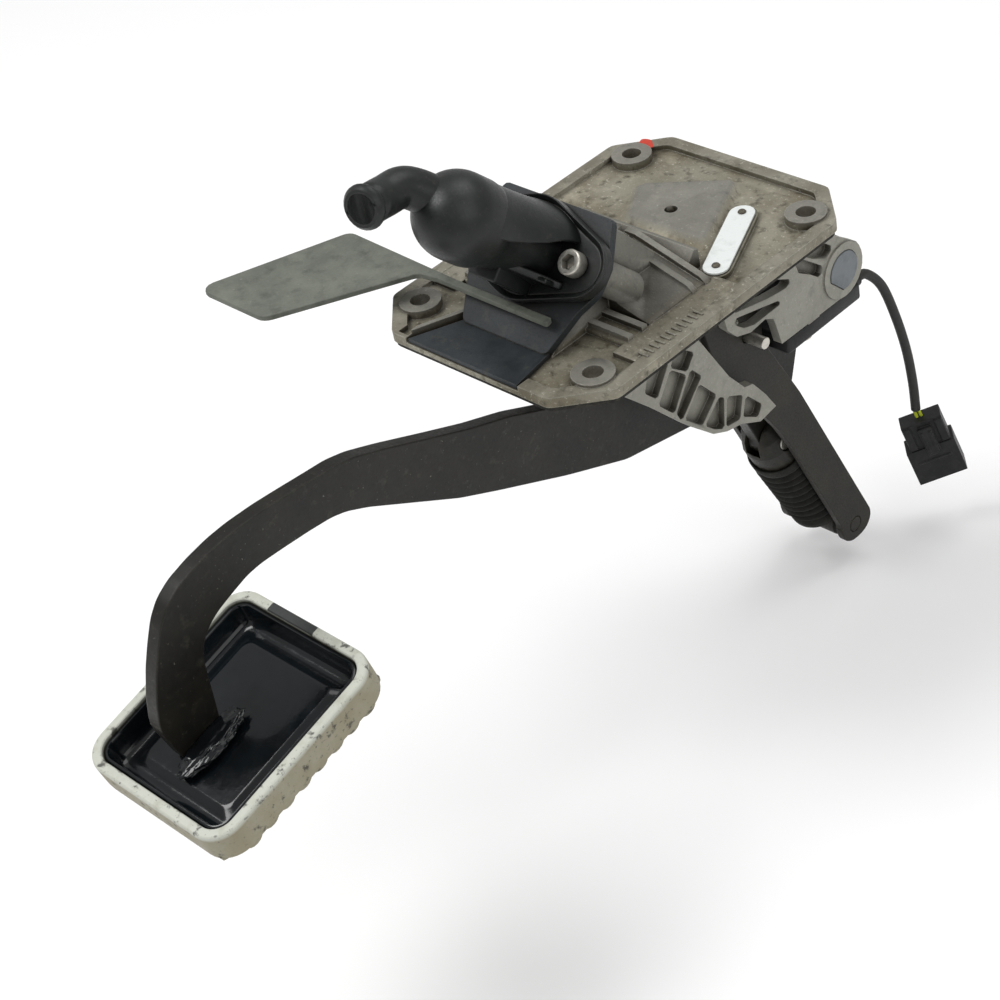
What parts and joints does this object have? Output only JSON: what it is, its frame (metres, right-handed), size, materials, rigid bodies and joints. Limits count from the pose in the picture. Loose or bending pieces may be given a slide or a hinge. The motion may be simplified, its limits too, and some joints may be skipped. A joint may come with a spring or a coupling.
{
  "type": "clutch pedal",
  "caption": "Hanging clutch pedal unit: cast bracket, pedal arm with rubber foot pad, master cylinder with elbow, assist spring, flap and position sensor.",
  "frame": {"origin": "centre of the four-bolt pattern on the seating plane, the underside of the gasket", "axes": "+Z out of the cab through the firewall, +Y from the foot pad towards the pedal's pivot, +X across along the pivot's axis"},
  "size_m": [0.1906, 0.4771, 0.3269],
  "materials": {
    "die_cast_aluminium": "dull die-cast skin, grimy",
    "black_steel": "satin black paint",
    "gloss_enamel": "gloss black enamel",
    "black_plastic": "moulded satin",
    "slate_plastic": "moulded, dusty",
    "black_rubber": "dusty",
    "grey_rubber": "dusty, worn",
    "pad_rubber": "worn pale with dark blotches",
    "zinc_steel": "zinc plated, dull",
    "gasket_board": "compressed board",
    "bare_label": "bare satin",
    "acetal": "satin",
    "spring_steel": "oiled",
    "yellow_wire": "insulated"
  },
  "bodies": {
    "bracket": {"flange_gasket": "gasket_board", "bracket_casting": "die_cast_aluminium", "name_plate": "bare_label", "plate_rivet_1": "zinc_steel", "plate_rivet_2": "zinc_steel", "master_cylinder": "slate_plastic", "cylinder_boot": "black_rubber", "elbow_seal": "black_rubber", "elbow": "black_plastic", "elbow_screw_left": "zinc_steel", "elbow_screw_right": "zinc_steel", "rubber_flap": "grey_rubber", "pivot_plug_left": "acetal", "pivot_plug_right": "acetal", "pivot_shaft": "zinc_steel", "spring_leg_left": "black_steel", "spring_leg_right": "black_steel", "leg_stud_left_1": "zinc_steel", "leg_stud_left_2": "zinc_steel", "leg_stud_right_1": "zinc_steel", "leg_stud_right_2": "zinc_steel", "spring_pin_lower": "black_steel", "sensor_housing": "black_plastic", "sensor_screw": "zinc_steel", "sensor_cable": "black_rubber", "cable_wire_1": "yellow_wire", "cable_wire_2": "yellow_wire", "connector": "black_plastic"},
    "pedal": {"pedal_arm": "black_steel", "pivot_tube": "black_steel", "hub_bush_left": "acetal", "hub_bush_right": "acetal", "pad_cover": "pad_rubber", "pad_tray": "gloss_enamel", "weld_bead": "gloss_enamel"},
    "rod": {"push_rod": "zinc_steel", "rod_clevis": "black_steel", "clevis_pin": "zinc_steel", "clevis_clip": "spring_steel"},
    "piston": {"piston": "black_plastic"},
    "spring_base": {"spring_foot": "black_plastic", "spring_bellows": "black_rubber", "assist_spring": "spring_steel"},
    "spring_cap": {"spring_cup": "black_plastic", "spring_pin_upper": "zinc_steel"}
  },
  "joints": [
    {"name": "pedal_swing", "type": "hinge", "parent": "bracket", "child": "pedal", "pos_m": [0, 0.11, -0.0515], "axis": [1, 0, 0], "range_deg": [0, 20], "stiffness_Nm_per_rad": 15, "springref_deg": -34.38},
    {"name": "rod_swing", "type": "hinge", "parent": "pedal", "child": "rod", "pos_m": [0, 0.05, -0.0575], "axis": [1, 0, 0], "range_deg": [-28.5, 0]},
    {"name": "piston_slide", "type": "slide", "parent": "bracket", "child": "piston", "axis": [0, 0.7071, -0.7071], "range_m": [0, 0.0195]},
    {"name": "spring_swing", "type": "hinge", "parent": "bracket", "child": "spring_base", "pos_m": [0, 0.118, -0.2125], "axis": [1, 0, 0], "range_deg": [-23, 0]},
    {"name": "spring_slide", "type": "slide", "parent": "spring_base", "child": "spring_cap", "axis": [0, -0.4472, 0.8944], "range_m": [-0.0152, 0], "deforming": ["assist_spring", "spring_bellows"]}
  ],
  "couplings": [
    {"joint": "rod_swing", "follows": "pedal_swing", "ratio": -1.3927},
    {"joint": "piston_slide", "follows": "pedal_swing", "m_per_rad": 0.05434},
    {"joint": "spring_swing", "follows": "pedal_swing", "ratio": -1.1077},
    {"joint": "spring_slide", "follows": "pedal_swing", "m_per_rad": -0.04143}
  ]
}
